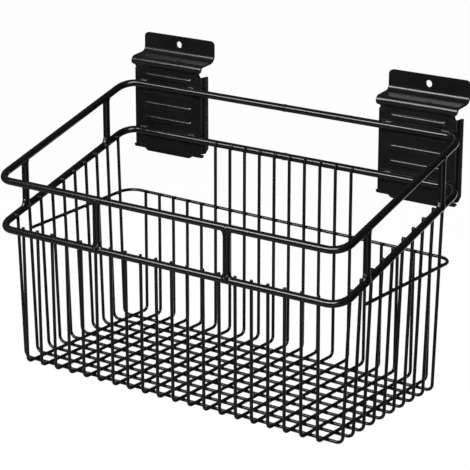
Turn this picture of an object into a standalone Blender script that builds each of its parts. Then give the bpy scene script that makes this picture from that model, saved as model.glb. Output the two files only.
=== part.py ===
"""A black wire basket that hangs on slatwall: two rod rims on six posts, a cage of thin wires with a band wire
round it, and two stamped hook brackets. X runs along the wall, -Y points away from it and +Z is up. The origin
lies midway between the brackets, on the slat's front face, level with the slat edge that the brackets sit on."""

import math

import bmesh
import bpy
from mathutils import Matrix, Vector

MM = 0.001
GAP = 0.3 * MM  # clearance left between pieces that are welded together

# Rods and wires
ROD_R = 2.6 * MM
WIRE_R = 1.15 * MM
ROD_SIDES = 4  # a curve's bevel_resolution: twelve sides
WIRE_SIDES = 2  # eight sides

# Sheet-metal brackets
SHEET = 1.9 * MM
BRACKET_HALF = 33.3 * MM
BRACKET_X = 112.0 * MM
SIDE_DEPTH = 8.0 * MM  # how far a face plate stands off the slat
SIDE_BEND = 2.0 * MM  # bend radii are at the middle of the sheet
SIDE_TOP = -8.0 * MM
SIDE_CHAMFER_Z = -65.0 * MM
SIDE_BOTTOM = -68.2 * MM
SIDE_CHAMFER_Y = -3.4 * MM
NOTCH = 2.4 * MM
FACE_BOTTOM = -71.2 * MM
TONGUE_BOTTOM = -73.2 * MM
SLIT = 0.6 * MM  # between the end of a folded side and the tab below it
HOOK_BACK = 6.5 * MM  # front of the hook flange, behind the slat face
HOOK_TOP = 18.0 * MM
HOOK_CORNER = 3.4 * MM
HOOK_BEND = 5.0 * MM
FOLD_R = 2.8 * MM
FOLD_PROUD = 2.8 * MM  # how far the fold stands in front of the face plate
FOLD_Z = -1.75 * MM  # centre of the fold
LIP_SLOPE = math.radians(5.5)
HOLE_R = 2.6 * MM
HOLE_Z = 11.6 * MM
RIB_HALF = 21.5 * MM
RIB_TAPER = 1.5 * MM
RIB_TOP = -12.6 * MM
RIB_PITCH = 11.3 * MM
RIB_COUNT = 4
RIB_HEIGHT = 1.1 * MM
RIB_WIDTH = 5.0 * MM
FLAT_HALF = BRACKET_HALF - SHEET / 2 - SIDE_BEND
FACE_Y = -SIDE_DEPTH + SHEET / 2
COLUMNS = (0.0, RIB_HALF - RIB_TAPER, RIB_HALF, RIB_HALF + RIB_TAPER, FLAT_HALF)

# Rims
RIM_HALF = 150.0 * MM
RIM_DEPTH = 152.7 * MM  # back run to front run, level
RIM_FALL = 44.3 * MM  # how much lower the front run is
RIM_SPACING = 37.3 * MM
RIM_CORNER = 12.0 * MM
RIM_BACK_Y = -(SIDE_DEPTH + GAP + ROD_R)
RIM_BACK_Z = -19.0 * MM
POST_FRONT_X = 57.0 * MM
POST_SIDE_AT = (0.80, 0.17)  # share of the depth, from the back

# Cage
LONG_PITCH = 13.65 * MM
LONG_COUNT = 20
LONG_BEND = 4.0 * MM
TALL_COUNT = 10  # long wires that reach the lower rim at the back
CROSS_PITCH = 13.25 * MM
CROSS_COUNT = 10
CROSS_BEND = 5.0 * MM
CROSS_MIDDLE = -76.5 * MM  # from the rims' back run
CAGE_FLOOR = -203.3 * MM
FRONT_TAPER = 0.8 * MM  # how far the front wall draws in from the rim to the floor
SIDE_TAPER = 4.0 * MM
FRONT_OVER_RIM = 2.9 * MM  # how far a wire's end passes the middle of the lower rim
SIDE_OVER_RIM = 2.1 * MM
BACK_OVER_RIM = 1.6 * MM
BAND_Z = -108.8 * MM
BAND_RISE = 3.6 * MM  # how much higher the band's left back corner sits
BAND_CORNER = 12.0 * MM
BAND_END = -119.0 * MM  # from the rims' back run
BAND_COVER = 2.0 * MM  # how far a short wire passes the band

BEND_STEPS = 5
CORNER_STEPS = 4
BLACK = (0.012, 0.012, 0.013, 1.0)

CAGE_INSET = ROD_R + GAP + WIRE_R  # from a rim's centre line in to the wires welded to it
WIRE_STEP = 2 * WIRE_R + GAP  # between the centre lines of two wires that cross
CROSS_TOP_X = RIM_HALF - CAGE_INSET
CROSS_FLOOR = CAGE_FLOOR - WIRE_STEP
BAND_FRONT_Y = RIM_BACK_Y + BAND_END
BAND_BACK_Y = RIM_BACK_Y - CAGE_INSET + WIRE_STEP


def clear_scene():
    for obj in list(bpy.data.objects):
        bpy.data.objects.remove(obj, do_unlink=True)


def powder_coat(name):
    material = bpy.data.materials.new(name)
    material.use_nodes = True
    shader = material.node_tree.nodes["Principled BSDF"]
    shader.inputs["Base Color"].default_value = BLACK
    shader.inputs["Roughness"].default_value = 0.28
    shader.inputs["Metallic"].default_value = 0.0
    return material


def arc(centre, radius, start, end, steps=BEND_STEPS):
    """Points on an arc in a plane, from one angle to another in radians."""
    angles = [start + (end - start) * i / steps for i in range(steps + 1)]
    return [(centre[0] + radius * math.cos(a), centre[1] + radius * math.sin(a)) for a in angles]


def round_corner(before, corner, after, radius, steps=BEND_STEPS):
    """Points on the arc that rounds one corner of a path in a plane."""
    corner = Vector(corner)
    inward = (Vector(before) - corner).normalized()
    outward = (Vector(after) - corner).normalized()
    half = inward.angle(outward) / 2
    centre = corner + (inward + outward).normalized() * radius / math.sin(half)
    first = corner + inward * radius / math.tan(half) - centre
    turn = math.pi - 2 * half
    sign = 1.0 if inward.cross(outward) < 0 else -1.0
    start = math.atan2(first.y, first.x)
    return arc(centre, radius, start, start + sign * turn, steps)


def bent_path(points, radius, closed=False):
    """A path in a plane whose inner points are rounded."""
    count = len(points)
    path = []
    for i, point in enumerate(points):
        if not closed and i in (0, count - 1):
            path.append(tuple(point))
        else:
            path += round_corner(points[i - 1], point, points[(i + 1) % count], radius)
    return path


def rod(name, points, radius, sides, closed=False):
    """A round rod along a list of points in space."""
    curve = bpy.data.curves.new(name, "CURVE")
    curve.dimensions = "3D"
    curve.bevel_depth = radius
    curve.bevel_resolution = sides
    curve.use_fill_caps = not closed
    spline = curve.splines.new("POLY")
    spline.points.add(len(points) - 1)
    for spline_point, point in zip(spline.points, points):
        spline_point.co = (*point, 1.0)
    spline.use_cyclic_u = closed
    curve.materials.append(powder_coat(name + "_coat"))
    obj = bpy.data.objects.new(name, curve)
    bpy.context.collection.objects.link(obj)
    return obj


def rim_height(y, level):
    """Height of a rim's centre line at one depth. Level 0 is the upper rim, 1 the lower."""
    fall = RIM_FALL * (RIM_BACK_Y - y) / RIM_DEPTH
    return RIM_BACK_Z - fall - level * RIM_SPACING


def build_rim(name, level):
    front = RIM_BACK_Y - RIM_DEPTH
    corners = [(-RIM_HALF, front), (RIM_HALF, front), (RIM_HALF, RIM_BACK_Y), (-RIM_HALF, RIM_BACK_Y)]
    path = bent_path(corners, RIM_CORNER, closed=True)
    rod(name, [(x, y, rim_height(y, level)) for x, y in path], ROD_R, ROD_SIDES, closed=True)


def build_post(name, x, y, slope):
    """A post between the rims. Its ends are cut to the rims' slope, which is 0 on the front run."""
    reach = ROD_R / math.cos(math.atan(slope)) + GAP
    foot = rim_height(y, 1) + reach
    head = rim_height(y, 0) - reach
    mesh = bpy.data.meshes.new(name)
    bm = bmesh.new()
    bmesh.ops.create_cone(
        bm, cap_ends=True, segments=12, radius1=ROD_R, radius2=ROD_R, depth=head - foot,
        matrix=Matrix.Translation((0, 0, (head + foot) / 2)),
    )
    for vert in bm.verts:
        vert.co.z += slope * vert.co.y
    bm.to_mesh(mesh)
    bm.free()
    mesh.shade_smooth()
    mesh.set_sharp_from_angle(angle=math.radians(40))
    mesh.materials.append(powder_coat(name + "_coat"))
    obj = bpy.data.objects.new(name, mesh)
    obj.location = (x, y, 0)
    bpy.context.collection.objects.link(obj)


def build_posts():
    slope = RIM_FALL / RIM_DEPTH
    for side, x in (("left", -RIM_HALF), ("right", RIM_HALF)):
        for place, share in zip(("front", "back"), POST_SIDE_AT):
            build_post(f"post_{side}_{place}", x, RIM_BACK_Y - share * RIM_DEPTH, slope)
    for side, x in (("left", -POST_FRONT_X), ("right", POST_FRONT_X)):
        build_post(f"post_front_{side}", x, RIM_BACK_Y - RIM_DEPTH, 0.0)


def band_half():
    """Half the band's width. It clears the tapered side walls, which are widest at its ends."""
    top = rim_height(BAND_FRONT_Y, 1) + SIDE_OVER_RIM
    taper = SIDE_TAPER * (top - BAND_Z) / (top - CROSS_FLOOR)
    return CROSS_TOP_X - taper + WIRE_STEP


def band_height(x, y):
    """Height of the band's centre line. Its left back corner is the highest."""
    leftward = (1 - x / band_half()) / 2
    backward = (y - BAND_FRONT_Y) / (BAND_BACK_Y - BAND_FRONT_Y)
    return BAND_Z + BAND_RISE * leftward * backward


def build_long_wires():
    """Wires that run down the front, across the floor and up the back."""
    front = RIM_BACK_Y - RIM_DEPTH + CAGE_INSET
    back = RIM_BACK_Y - CAGE_INSET
    front_top = rim_height(RIM_BACK_Y - RIM_DEPTH, 1) + FRONT_OVER_RIM
    first_tall = (LONG_COUNT - TALL_COUNT) // 2
    for i in range(LONG_COUNT):
        x = (i - (LONG_COUNT - 1) / 2) * LONG_PITCH
        tall = first_tall <= i < first_tall + TALL_COUNT
        back_top = rim_height(RIM_BACK_Y, 1) + BACK_OVER_RIM if tall else band_height(x, back) + BAND_COVER
        outline = [(front, front_top), (front + FRONT_TAPER, CAGE_FLOOR), (back, CAGE_FLOOR), (back, back_top)]
        path = bent_path(outline, LONG_BEND)
        rod(f"long_wire_{i + 1:02d}", [(x, y, z) for y, z in path], WIRE_R, WIRE_SIDES)


def cross_wire_y(i):
    """Depth of one cross wire. The first is the nearest to the front."""
    return RIM_BACK_Y + CROSS_MIDDLE + (i - (CROSS_COUNT - 1) / 2) * CROSS_PITCH


def build_cross_wires():
    """Wires that run down the left side, under the long wires and up the right side."""
    for i in range(CROSS_COUNT):
        y = cross_wire_y(i)
        top = rim_height(y, 1) + SIDE_OVER_RIM
        foot_x = CROSS_TOP_X - SIDE_TAPER
        outline = [(-CROSS_TOP_X, top), (-foot_x, CROSS_FLOOR), (foot_x, CROSS_FLOOR), (CROSS_TOP_X, top)]
        path = bent_path(outline, CROSS_BEND)
        rod(f"cross_wire_{i + 1:02d}", [(x, y, z) for x, z in path], WIRE_R, WIRE_SIDES)


def build_band():
    """The wire round the outside of the cage, along its left side, back and right side."""
    half = band_half()
    outline = [(-half, BAND_FRONT_Y), (-half, BAND_BACK_Y), (half, BAND_BACK_Y), (half, BAND_FRONT_Y)]
    path = bent_path(outline, BAND_CORNER)
    rod("band_wire", [(x, y, band_height(x, y)) for x, y in path], WIRE_R, WIRE_SIDES)


def level_row(y, z, pressed=0.0):
    """One row across the flat of a bracket's sheet, from its middle to where the sides fold."""
    return [(x, y - pressed if x < RIB_HALF else y, z) for x in COLUMNS]


def hook_rows():
    """Rows of the hook flange, the lip and the fold, from the top down: (y, z, half width)."""
    hook = HOOK_BACK + SHEET / 2
    rows = []
    for i in range(CORNER_STEPS + 1):
        turn = math.pi / 2 * i / CORNER_STEPS
        drop = HOOK_CORNER * (1 - math.cos(turn))
        rows.append((hook, HOOK_TOP - drop, BRACKET_HALF - HOOK_CORNER * (1 - math.sin(turn))))
    fold = (FACE_Y - FOLD_PROUD + FOLD_R, FOLD_Z)
    crest_y = fold[0] - FOLD_R * math.sin(LIP_SLOPE)
    crest_z = fold[1] + FOLD_R * math.cos(LIP_SLOPE)
    bend_y = hook - HOOK_BEND
    lip_y = bend_y + HOOK_BEND * math.sin(LIP_SLOPE)
    lip_z = crest_z + (lip_y - crest_y) * math.tan(LIP_SLOPE)
    bend = (bend_y, lip_z + HOOK_BEND * math.cos(LIP_SLOPE))
    path = arc(bend, HOOK_BEND, 0.0, LIP_SLOPE - math.pi / 2, 3)
    path += arc(fold, FOLD_R, math.pi / 2 + LIP_SLOPE, math.pi, 4)
    rows += [(y, z, BRACKET_HALF) for y, z in path]
    rows.append((FACE_Y, SIDE_TOP + NOTCH, BRACKET_HALF))
    return rows


def folded_side(z, end_y):
    """One row round the bend of a side and back to its edge."""
    row = []
    for turn in (30, 60, 90):
        angle = math.radians(turn)
        across = FLAT_HALF + SIDE_BEND * math.sin(angle)
        row.append((across, FACE_Y + SIDE_BEND * (1 - math.cos(angle)), z))
    return row + [(FLAT_HALF + SIDE_BEND, end_y, z)]


def bracket_rows():
    """Rows of a bracket's sheet at the middle of its thickness, from the hook down: (part, row)."""
    rows = [("hook", level_row(y, z) + [(half, y, z)]) for y, z, half in hook_rows()]
    rows.append(("side", level_row(FACE_Y, SIDE_TOP) + folded_side(SIDE_TOP, 0.0)))
    for i in range(RIB_COUNT):
        for share, pressed in ((0.5, 0.0), (0.25, RIB_HEIGHT), (-0.25, RIB_HEIGHT), (-0.5, 0.0)):
            z = RIB_TOP - i * RIB_PITCH + share * RIB_WIDTH
            rows.append(("side", level_row(FACE_Y, z, pressed) + folded_side(z, 0.0)))
    for z, end_y in ((SIDE_CHAMFER_Z, 0.0), (SIDE_BOTTOM, SIDE_CHAMFER_Y)):
        rows.append(("side", level_row(FACE_Y, z) + folded_side(z, end_y)))
    for z in (SIDE_BOTTOM - SLIT, FACE_BOTTOM):
        rows.append(("tab", level_row(FACE_Y, z) + [(BRACKET_HALF, FACE_Y, z)]))
    return rows


def half_sheet(name):
    """The right half of a bracket's sheet, with no thickness yet."""
    bm = bmesh.new()
    rows = [(part, [bm.verts.new(point) for point in row]) for part, row in bracket_rows()]
    for (part, upper), (next_part, lower) in zip(rows, rows[1:]):
        across = len(lower) if part == next_part else len(COLUMNS)
        for i in range(across - 1):
            bm.faces.new((upper[i], lower[i], lower[i + 1], upper[i + 1]))
    last = rows[-1][1]
    tongue = [bm.verts.new((x, FACE_Y, TONGUE_BOTTOM)) for x in COLUMNS[:2]]
    bm.faces.new((last[0], tongue[0], tongue[1], last[1]))
    bm.faces.new((last[1], tongue[1], last[2]))
    mesh = bpy.data.meshes.new(name)
    bm.to_mesh(mesh)
    bm.free()
    return mesh


def hole_cutter(name, x):
    """The round cutter for a bracket's screw hole."""
    mesh = bpy.data.meshes.new(name)
    bm = bmesh.new()
    turn = Matrix.Rotation(math.pi / 2, 4, "X")
    bmesh.ops.create_cone(
        bm, cap_ends=True, segments=20, radius1=HOLE_R, radius2=HOLE_R, depth=4 * SHEET,
        matrix=Matrix.Translation((0, HOOK_BACK + SHEET / 2, HOLE_Z)) @ turn,
    )
    bm.to_mesh(mesh)
    bm.free()
    cutter = bpy.data.objects.new(name, mesh)
    cutter.location = (x, 0, 0)
    cutter.hide_render = True
    cutter.display_type = "WIRE"
    bpy.context.collection.objects.link(cutter)
    return cutter


def build_bracket(name, x):
    mesh = half_sheet(name)
    mesh.materials.append(powder_coat(name + "_coat"))
    obj = bpy.data.objects.new(name, mesh)
    obj.location = (x, 0, 0)
    bpy.context.collection.objects.link(obj)
    mirror = obj.modifiers.new("halves", "MIRROR")
    mirror.merge_threshold = 0.00001
    sheet = obj.modifiers.new("sheet", "SOLIDIFY")
    sheet.thickness = SHEET
    sheet.offset = 0.0
    sheet.use_even_offset = True
    hole = obj.modifiers.new("hole", "BOOLEAN")
    hole.operation = "DIFFERENCE"
    hole.object = hole_cutter(name + "_hole", x)


def main():
    clear_scene()
    build_rim("upper_rim", 0)
    build_rim("lower_rim", 1)
    build_posts()
    build_long_wires()
    build_cross_wires()
    build_band()
    build_bracket("bracket_left", -BRACKET_X)
    build_bracket("bracket_right", BRACKET_X)


main()
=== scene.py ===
"""The finished look of a black wire slatwall basket: rims, posts, cage wires, welds and two stamped
brackets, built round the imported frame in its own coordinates. X runs along the wall, -Y points away from
it and +Z is up."""

import itertools
import math

import bmesh
import bpy
from mathutils import Matrix, Vector, noise


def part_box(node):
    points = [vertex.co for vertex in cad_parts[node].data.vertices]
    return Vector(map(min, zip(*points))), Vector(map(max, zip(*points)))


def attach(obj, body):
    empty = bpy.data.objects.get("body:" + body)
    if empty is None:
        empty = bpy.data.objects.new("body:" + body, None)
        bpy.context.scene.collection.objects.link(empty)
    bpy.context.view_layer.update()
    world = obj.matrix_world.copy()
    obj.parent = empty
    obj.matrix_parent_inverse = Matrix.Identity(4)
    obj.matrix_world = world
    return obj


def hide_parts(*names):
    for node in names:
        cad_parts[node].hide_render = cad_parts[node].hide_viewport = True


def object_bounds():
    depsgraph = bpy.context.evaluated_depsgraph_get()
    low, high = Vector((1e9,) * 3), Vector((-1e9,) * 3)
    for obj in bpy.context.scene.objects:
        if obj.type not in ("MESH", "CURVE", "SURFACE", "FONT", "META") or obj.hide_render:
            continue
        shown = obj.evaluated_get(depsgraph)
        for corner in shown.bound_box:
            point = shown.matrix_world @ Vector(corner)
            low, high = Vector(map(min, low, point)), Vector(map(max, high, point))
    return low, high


bl_info = {
    "name": "Slatwall Wire Basket",
    "version": (1, 0, 0),
    "blender": (4, 5, 0),
    "location": "View3D > Sidebar > Basket",
    "description": "Builds a powder-coated wire basket with its slatwall brackets, welds and studio",
    "category": "Object",
}

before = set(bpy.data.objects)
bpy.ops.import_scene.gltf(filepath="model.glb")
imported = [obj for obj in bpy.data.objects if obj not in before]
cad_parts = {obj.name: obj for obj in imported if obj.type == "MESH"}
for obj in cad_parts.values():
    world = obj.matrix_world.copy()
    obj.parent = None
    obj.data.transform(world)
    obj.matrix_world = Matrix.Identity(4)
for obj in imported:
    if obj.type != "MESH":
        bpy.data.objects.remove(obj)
CAD_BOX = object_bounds()

MM = 0.001
BODY = "root"
NODE_NAMES = sorted(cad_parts)
LONG_WIRES = [name for name in NODE_NAMES if name.startswith("long_wire")]
CROSS_WIRES = [name for name in NODE_NAMES if name.startswith("cross_wire")]
POSTS = [name for name in NODE_NAMES if name.startswith("post")]
BRACKETS = [name for name in NODE_NAMES if name.startswith("bracket")]
CAD_FLAT = math.cos(math.pi / 12)  # the frame's twelve-sided rods lie on a flat
CROPPED_END = ((0.0, 0.50), (0.10, 0.80), (0.30, 0.96), (0.60, 1.0))  # (way in, thickness), in radii


# ---------------------------------------------------------------- settings a user can change

def length(name, description, default, low=0.0):
    """A size in metres for the sidebar."""
    return bpy.props.FloatProperty(
        name=name, description=description, default=default, min=low, unit="LENGTH", precision=5
    )


def share(name, description, default):
    """A plain number from 0 to 1 for the sidebar."""
    return bpy.props.FloatProperty(
        name=name, description=description, default=default, min=0.0, max=1.0, subtype="FACTOR"
    )


def number(name, description, default):
    """A plain number for the sidebar."""
    return bpy.props.FloatProperty(name=name, description=description, default=default)


def angle(name, description, degrees):
    """An angle for the sidebar."""
    return bpy.props.FloatProperty(
        name=name, description=description, default=math.radians(degrees), subtype="ANGLE"
    )


def colour(name, description, default):
    """A colour for the sidebar."""
    return bpy.props.FloatVectorProperty(
        name=name, description=description, default=default, size=3, min=0.0, max=1.0, subtype="COLOR"
    )


class BasketRodSizes(bpy.types.PropertyGroup):
    """Sizes of the rims, posts and cage wires."""

    rod_radius: length("Rod radius", "Radius of the rims' and posts' rod with its coat", 2.7 * MM)
    wire_radius: length("Wire radius", "Radius of a cage wire with its coat", 1.22 * MM)
    rod_sides: bpy.props.IntProperty(name="Rod sides", description="Facets round a rod", default=28, min=8)
    wire_sides: bpy.props.IntProperty(name="Wire sides", description="Facets round a wire", default=12, min=6)
    rim_corner: length("Rim corner", "Bend radius of a rim's corners, at the rod's middle", 12.0 * MM)
    long_bend: length("Long wire bend", "Bend radius of the wires that run from front to back", 4.0 * MM)
    cross_bend: length("Cross wire bend", "Bend radius of the wires that run from side to side", 5.0 * MM)
    band_corner: length("Band corner", "Bend radius of the band wire's corners", 12.0 * MM)
    front_taper: length("Front taper", "How far the front wall draws in towards the floor", 0.8 * MM)
    side_taper: length("Side taper", "How far each side wall draws in towards the floor", 4.0 * MM)
    front_over_rim: length("Front wires over rim", "How far a front end passes the rim's middle", 2.9 * MM)
    side_over_rim: length("Side wires over rim", "How far a side end passes the rim's middle", 2.1 * MM)
    back_over_rim: length("Back wires over rim", "How far a tall back end passes the rim's middle", 1.6 * MM)
    wire_over_band: length("Wire over band", "How far a short back end passes the band's middle", 2.0 * MM)
    bite: length("Weld bite", "How far two welded rods are pressed into each other", 0.22 * MM)


class BasketSheetSizes(bpy.types.PropertyGroup):
    """Sizes of the two stamped brackets."""

    sheet: length("Sheet", "Thickness of the sheet with its coat", 1.9 * MM)
    side_depth: length("Side depth", "How far the face plate stands off the slat", 8.0 * MM)
    side_bend: length("Side bend", "Bend radius of the folded sides, at the sheet's middle", 2.0 * MM)
    hook_bend: length("Hook bend", "Bend radius between hook flange and lip", 5.0 * MM)
    hook_corner: length("Hook corner", "Radius of the hook flange's top corners", 3.4 * MM)
    fold: length("Fold", "Bend radius of the fold in front of the lip", 2.8 * MM)
    fold_flare: length("Fold flare", "How much wider the fold is bent at its free ends", 0.4 * MM)
    rib_height: length("Rib height", "How far the ribs are pressed forward", 1.1 * MM)
    rib_width: length("Rib width", "Height of one rib on the face plate", 5.0 * MM)
    hole_radius: length("Hole radius", "Radius of the screw hole", 2.6 * MM)
    edge: length("Edge", "Rounding of the sheet's cut edges", 0.3 * MM)


class BasketCoatLooks(bpy.types.PropertyGroup):
    """Colours and gloss of the powder coat."""

    rod_black: colour("Rod black", "Colour of the coat on rods and wires", (0.0042, 0.0042, 0.0046))
    sheet_black: colour("Sheet black", "Colour of the coat on the brackets", (0.0048, 0.0048, 0.0052))
    dust: colour("Dust", "Colour of the dust that settles on upper faces", (0.10, 0.10, 0.10))
    rod_gloss: share("Rod gloss", "Gloss of the coat on rods and wires", 0.80)
    sheet_gloss: share("Sheet gloss", "Gloss of the coat on the brackets", 0.75)


class BasketStageLooks(bpy.types.PropertyGroup):
    """Floor, light and camera."""

    floor_drop: length("Floor drop", "How far the floor lies below the basket", 0.35)
    floor_white: colour("Floor", "Colour of the floor", (0.86, 0.86, 0.86))
    key_power: number("Key light", "Power of the key light", 25.0)
    camera_turn: angle("Camera turn", "Camera's turn round the basket", 35.93)
    camera_height: angle("Camera height", "Camera's angle over the level", 17.30)
    camera_distance: length("Camera distance", "From the camera to the point it is aimed at", 1.4818)
    camera_lens: number("Lens", "Focal length in millimetres", 156.5)


# ---------------------------------------------------------------- paths

BEND_STEPS = 8


def bend(before, corner, after, radius):
    """Points on the arc that rounds one corner of a path in space."""
    inward = (before - corner).normalized()
    outward = (after - corner).normalized()
    half = inward.angle(outward) / 2
    centre = corner + (inward + outward).normalized() * radius / math.sin(half)
    reach = radius / math.tan(half)
    first = (corner + inward * reach - centre).normalized()
    last = (corner + outward * reach - centre).normalized()
    return [centre + first.slerp(last, i / BEND_STEPS) * radius for i in range(BEND_STEPS + 1)]


def bent_path(points, radius, closed=False):
    """A path whose inner corners are rounded."""
    points = [Vector(point) for point in points]
    count = len(points)
    path = []
    for i, point in enumerate(points):
        if closed or 0 < i < count - 1:
            path += bend(points[i - 1], point, points[(i + 1) % count], radius)
        else:
            path.append(point)
    return path


def cut_ends(path, radius):
    """The path as (point, thickness), with both ends rounded off as a cropped wire's are under its coat."""
    start = (path[1] - path[0]).normalized()
    end = (path[-2] - path[-1]).normalized()
    head = [(path[0] + start * radius * along, thick) for along, thick in CROPPED_END]
    tail = [(path[-1] + end * radius * along, thick) for along, thick in reversed(CROPPED_END)]
    return head + [(point, 1.0) for point in path[1:-1]] + tail


def rim_frame(sizes, node):
    """One rim at its rod's middle: half width, and depth and height of its front and back runs."""
    low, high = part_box(node)
    post_low, post_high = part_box("post_front_left")
    radius = (post_high.x - post_low.x) / 2
    front = (post_low.y + post_high.y) / 2
    flat = radius * CAD_FLAT
    back = high.y - flat
    return {
        "half": high.x - radius,
        "front": front,
        "back": back + (radius - sizes.rod_radius) + sizes.bite,
        "front_z": low.z + flat,
        "back_z": high.z - flat,
    }


def rim_z(rim, y):
    """Height of a rim's middle at one depth."""
    along = (rim["back"] - y) / (rim["back"] - rim["front"])
    return rim["back_z"] + (rim["front_z"] - rim["back_z"]) * along


def cage_frame(sizes):
    """Places that the cage's wires share, at the wires' middles."""
    rim = rim_frame(sizes, "lower_rim")
    inset = sizes.rod_radius + sizes.wire_radius - sizes.bite
    step = 2 * sizes.wire_radius - sizes.bite
    low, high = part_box(LONG_WIRES[0])
    floor = low.z + (high.x - low.x) / 2
    return {
        "rim": rim,
        "front": rim["front"] + inset,
        "back": rim["back"] - inset,
        "side": rim["half"] - inset,
        "floor": floor,
        "under": floor - step,
        "step": step,
    }


def cage_side(sizes, cage, z, top):
    """Half width of the cage at one height of a cross wire that starts at top."""
    return cage["side"] - sizes.side_taper * (top - z) / (top - cage["under"])


def band_frame(sizes, cage):
    """The band's half width, depths and heights, at the wire's middle."""
    low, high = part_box("band_wire")
    radius = (high.z - low.z - band_rise()) / 2
    level = low.z + radius
    top = rim_z(cage["rim"], low.y) + sizes.side_over_rim
    return {
        "half": cage_side(sizes, cage, level, top) + cage["step"],
        "front": low.y,
        "back": cage["back"] + cage["step"],
        "level": level,
    }


def band_rise():
    """How much higher the band's left back corner sits: the band's box less one wire."""
    wire_low, wire_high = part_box(CROSS_WIRES[0])
    low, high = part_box("band_wire")
    return (high.z - low.z) - (wire_high.y - wire_low.y)


def band_z(band, x, y):
    """Height of the band at one place."""
    leftward = (1 - x / band["half"]) / 2
    backward = (y - band["front"]) / (band["back"] - band["front"])
    return band["level"] + band_rise() * leftward * backward


def long_wire_path(sizes, cage, band, node):
    """One wire down the front, across the floor and up the back."""
    low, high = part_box(node)
    x = (low.x + high.x) / 2
    rim = cage["rim"]
    tall = high.z > rim["back_z"]
    front_top = rim["front_z"] + sizes.front_over_rim
    over_band = band_z(band, x, cage["back"]) + sizes.wire_over_band
    back_top = rim["back_z"] + sizes.back_over_rim if tall else over_band
    points = [
        (x, cage["front"], front_top),
        (x, cage["front"] + sizes.front_taper, cage["floor"]),
        (x, cage["back"], cage["floor"]),
        (x, cage["back"], back_top),
    ]
    return bent_path(points, sizes.long_bend)


def cross_wire_path(sizes, cage, node):
    """One wire down the left side, beneath the long wires and up the right side."""
    low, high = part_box(node)
    y = (low.y + high.y) / 2
    top = rim_z(cage["rim"], y) + sizes.side_over_rim
    foot = cage["side"] - sizes.side_taper
    points = [
        (-cage["side"], y, top),
        (-foot, y, cage["under"]),
        (foot, y, cage["under"]),
        (cage["side"], y, top),
    ]
    return bent_path(points, sizes.cross_bend)


# ---------------------------------------------------------------- node trees that sweep and repeat

def add_socket(tree, name, kind, default=None, side="INPUT"):
    """A named socket on a node tree."""
    socket = tree.interface.new_socket(name=name, in_out=side, socket_type=kind)
    if default is not None:
        socket.default_value = default
    return socket


def geometry_tree(name, extra):
    """A new geometry tree with its geometry, coat and other named inputs, and both end nodes."""
    tree = bpy.data.node_groups.new(name, "GeometryNodeTree")
    add_socket(tree, "Geometry", "NodeSocketGeometry")
    add_socket(tree, "Coat", "NodeSocketMaterial")
    for socket_name, kind, default in extra:
        add_socket(tree, socket_name, kind, default)
    add_socket(tree, "Geometry", "NodeSocketGeometry", side="OUTPUT")
    return tree, tree.nodes.new("NodeGroupInput"), tree.nodes.new("NodeGroupOutput")


def finish_tree(tree, source, start, end):
    """Makes the result real, smooth and coated, which every tree here ends in."""
    real = tree.nodes.new("GeometryNodeRealizeInstances")
    smooth = tree.nodes.new("GeometryNodeSetShadeSmooth")
    coat = tree.nodes.new("GeometryNodeSetMaterial")
    tree.links.new(source, real.inputs["Geometry"])
    tree.links.new(real.outputs["Geometry"], smooth.inputs["Geometry"])
    tree.links.new(smooth.outputs["Geometry"], coat.inputs["Geometry"])
    tree.links.new(start.outputs["Coat"], coat.inputs["Material"])
    tree.links.new(coat.outputs["Geometry"], end.inputs["Geometry"])
    return tree


def drawn_rod_tree():
    """Sweeps a round section along each path, thinner where the path's own radius is."""
    extra = (("Radius", "NodeSocketFloat", 1.0 * MM), ("Sides", "NodeSocketInt", 12))
    tree, start, end = geometry_tree("drawn_rod", extra)
    section = tree.nodes.new("GeometryNodeCurvePrimitiveCircle")
    thickness = tree.nodes.new("GeometryNodeInputRadius")
    sweep = tree.nodes.new("GeometryNodeCurveToMesh")
    sweep.inputs["Fill Caps"].default_value = True
    tree.links.new(start.outputs["Sides"], section.inputs["Resolution"])
    tree.links.new(start.outputs["Radius"], section.inputs["Radius"])
    tree.links.new(start.outputs["Geometry"], sweep.inputs["Curve"])
    tree.links.new(section.outputs["Curve"], sweep.inputs["Profile Curve"])
    tree.links.new(thickness.outputs["Radius"], sweep.inputs["Scale"])
    return finish_tree(tree, sweep.outputs["Mesh"], start, end)


def named_vector(tree, name):
    """Reads a vector that the points carry."""
    node = tree.nodes.new("GeometryNodeInputNamedAttribute")
    node.data_type = "FLOAT_VECTOR"
    node.inputs["Name"].default_value = name
    return node.outputs["Attribute"]


def round_drop(tree):
    """A small ball with few faces, one unit in radius."""
    ball = tree.nodes.new("GeometryNodeMeshUVSphere")
    ball.inputs["Segments"].default_value = 8
    ball.inputs["Rings"].default_value = 5
    ball.inputs["Radius"].default_value = 1.0
    return ball.outputs["Mesh"]


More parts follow.
